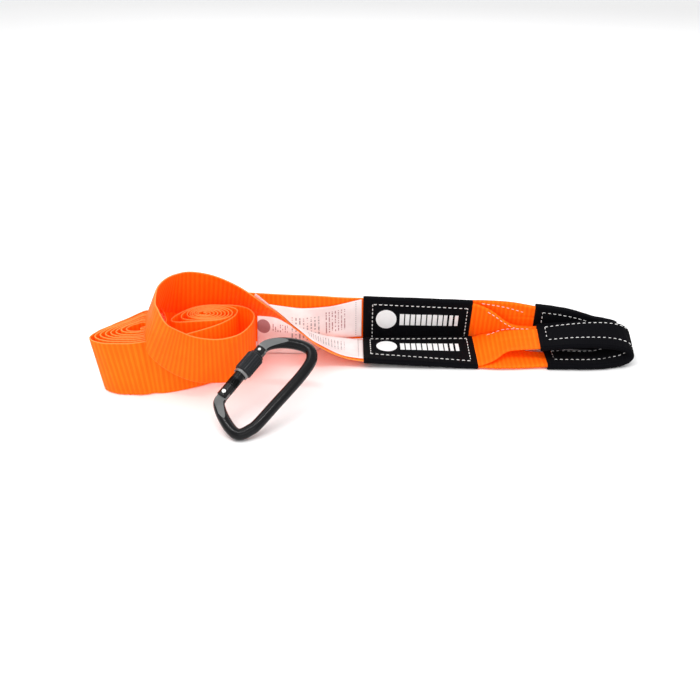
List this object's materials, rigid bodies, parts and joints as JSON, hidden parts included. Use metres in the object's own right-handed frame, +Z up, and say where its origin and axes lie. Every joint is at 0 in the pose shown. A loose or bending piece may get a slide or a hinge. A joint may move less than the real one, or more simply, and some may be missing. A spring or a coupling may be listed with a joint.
{
  "type": "recovery strap with carabiner",
  "caption": "Flat recovery strap wound into two rolls, with a sleeved eye at each end, stitched patches and label tapes, and a loose screw-lock carabiner.",
  "frame": {"origin": "middle of the whole footprint, on the surface it lies on", "axes": "+Z up; +X along the strap towards the two eyes; +Y away from the side with the carabiner"},
  "size_m": [0.4636, 0.1768, 0.0918],
  "materials": {
    "webbing": "ribbed woven polyester",
    "cover_fabric": "coarse woven nylon",
    "thread": "bonded sewing thread",
    "label_tape": "smooth woven tape",
    "black_alloy": "gloss black anodised",
    "grey_alloy": "dark anodised, knurled",
    "steel": "turned"
  },
  "bodies": {
    "strap": {"web_front_run": "webbing", "right_roll": "webbing", "web_link_band": "webbing", "left_roll": "webbing", "web_back_run": "webbing", "front_eye_web": "webbing", "back_eye_web": "webbing", "front_wrap_patch": "cover_fabric", "back_wrap_patch": "cover_fabric", "front_eye_sleeve": "cover_fabric", "back_eye_sleeve": "cover_fabric", "front_patch_seam": "thread", "back_patch_seam": "thread", "front_label_tape": "label_tape", "back_label_tape": "label_tape"},
    "carabiner": {"carabiner_body": "black_alloy"},
    "gate": {"gate": "black_alloy", "gate_rivet": "steel", "latch_pin": "steel", "spring_plunger": "steel", "gate_spring": "steel"},
    "sleeve_carrier": {"sleeve_ring": "steel"},
    "lock_sleeve": {"lock_sleeve": "grey_alloy"}
  },
  "joints": [
    {"name": "carabiner_lift", "type": "slide", "parent": "strap", "child": "carabiner", "axis": [0, 0, 1], "range_m": [0, 0.12]},
    {"name": "gate_hinge", "type": "hinge", "parent": "carabiner", "child": "gate", "pos_m": [-0.12063, -0.05248, 0.02287], "axis": [0, 0.5, -0.866], "range_deg": [0, 28], "stiffness_Nm_per_rad": 0.05, "springref_deg": -20.05},
    {"name": "sleeve_slide", "type": "slide", "parent": "gate", "child": "sleeve_carrier", "axis": [0.5592, 0.718, 0.4145], "range_m": [0, 0.008]},
    {"name": "sleeve_spin", "type": "hinge", "parent": "sleeve_carrier", "child": "lock_sleeve", "pos_m": [-0.10207, -0.02864, 0.03663], "axis": [0.5592, 0.718, 0.4145], "range_deg": [0, 960]}
  ],
  "couplings": [
    {"joint": "sleeve_spin", "follows": "sleeve_slide", "rad_per_m": 2094.4}
  ]
}
